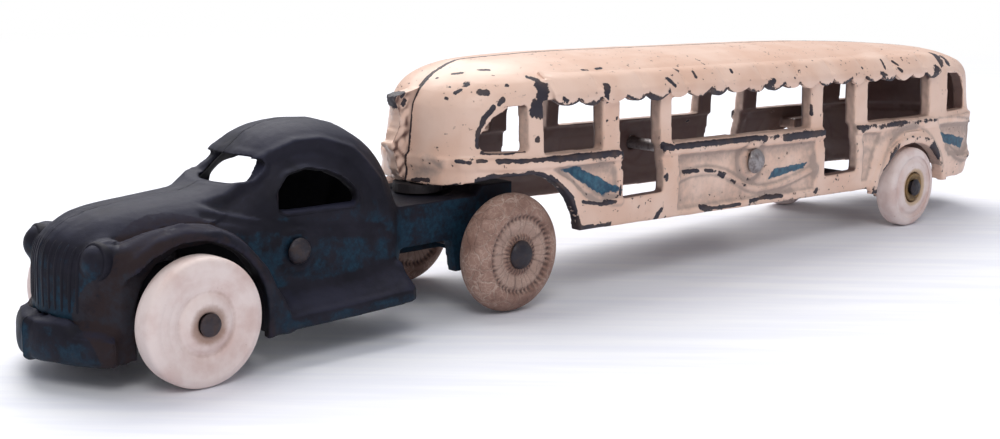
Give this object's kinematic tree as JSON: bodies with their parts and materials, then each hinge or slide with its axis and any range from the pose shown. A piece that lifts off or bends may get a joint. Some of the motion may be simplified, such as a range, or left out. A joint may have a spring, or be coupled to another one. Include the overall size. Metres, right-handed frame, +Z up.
{
  "type": "toy truck and sightseeing trailer",
  "caption": "Cast iron toy: a streamlined tractor truck draws a long open-sided sightseeing trailer with a scalloped awning, on rubber tyres, and the trailer swings on a king pin.",
  "frame": {"origin": "on the ground under the middle of the toy's length and width", "axes": "+X towards the trailer's tail, so the truck's nose points to -X; +Y towards the vehicle's right side; +Z up"},
  "size_m": [0.292, 0.0486, 0.0514],
  "materials": {
    "blue_iron": "dark blue paint worn down to bare and rusty iron",
    "cream_paint": "old peach-cream enamel, chipped to dark metal",
    "white_rubber": "aged pinkish white rubber",
    "old_rubber": "hard brown rubber with pale crazing",
    "steel": "dull oxidised steel",
    "brass": "tarnished"
  },
  "bodies": {
    "tractor": {"tractor_left_half": "blue_iron", "tractor_right_half": "blue_iron", "cab_rivet": "steel", "front_axle": "steel", "rear_axle": "steel"},
    "front_wheel_left": {"front_tyre_left": "white_rubber"},
    "front_wheel_right": {"front_tyre_right": "white_rubber"},
    "rear_wheel_left": {"rear_tyre_left": "old_rubber"},
    "rear_wheel_right": {"rear_tyre_right": "old_rubber"},
    "trailer": {"trailer_left_half": "cream_paint", "trailer_right_half": "cream_paint", "body_rivet": "steel", "trailer_axle": "steel", "king_pin": "steel"},
    "trailer_wheel_left": {"trailer_tyre_left": "white_rubber", "trailer_bush_left": "brass"},
    "trailer_wheel_right": {"trailer_tyre_right": "white_rubber", "trailer_bush_right": "brass"}
  },
  "joints": [
    {"name": "front_left_roll", "type": "hinge", "parent": "tractor", "child": "front_wheel_left", "pos_m": [-0.1234, 0, 0.0115], "axis": [0, 1, 0], "continuous": true},
    {"name": "front_right_roll", "type": "hinge", "parent": "tractor", "child": "front_wheel_right", "pos_m": [-0.1234, 0, 0.0115], "axis": [0, 1, 0], "continuous": true},
    {"name": "rear_left_roll", "type": "hinge", "parent": "tractor", "child": "rear_wheel_left", "pos_m": [-0.0474, 0, 0.0124], "axis": [0, 1, 0], "continuous": true},
    {"name": "rear_right_roll", "type": "hinge", "parent": "tractor", "child": "rear_wheel_right", "pos_m": [-0.0474, 0, 0.0124], "axis": [0, 1, 0], "continuous": true},
    {"name": "trailer_swing", "type": "hinge", "parent": "tractor", "child": "trailer", "pos_m": [-0.0577, 0, 0.024], "axis": [0, 0, 1], "range_deg": [-50, 50]},
    {"name": "trailer_left_roll", "type": "hinge", "parent": "trailer", "child": "trailer_wheel_left", "pos_m": [0.0987, 0, 0.0106], "axis": [0, 1, 0], "continuous": true},
    {"name": "trailer_right_roll", "type": "hinge", "parent": "trailer", "child": "trailer_wheel_right", "pos_m": [0.0987, 0, 0.0106], "axis": [0, 1, 0], "continuous": true}
  ]
}
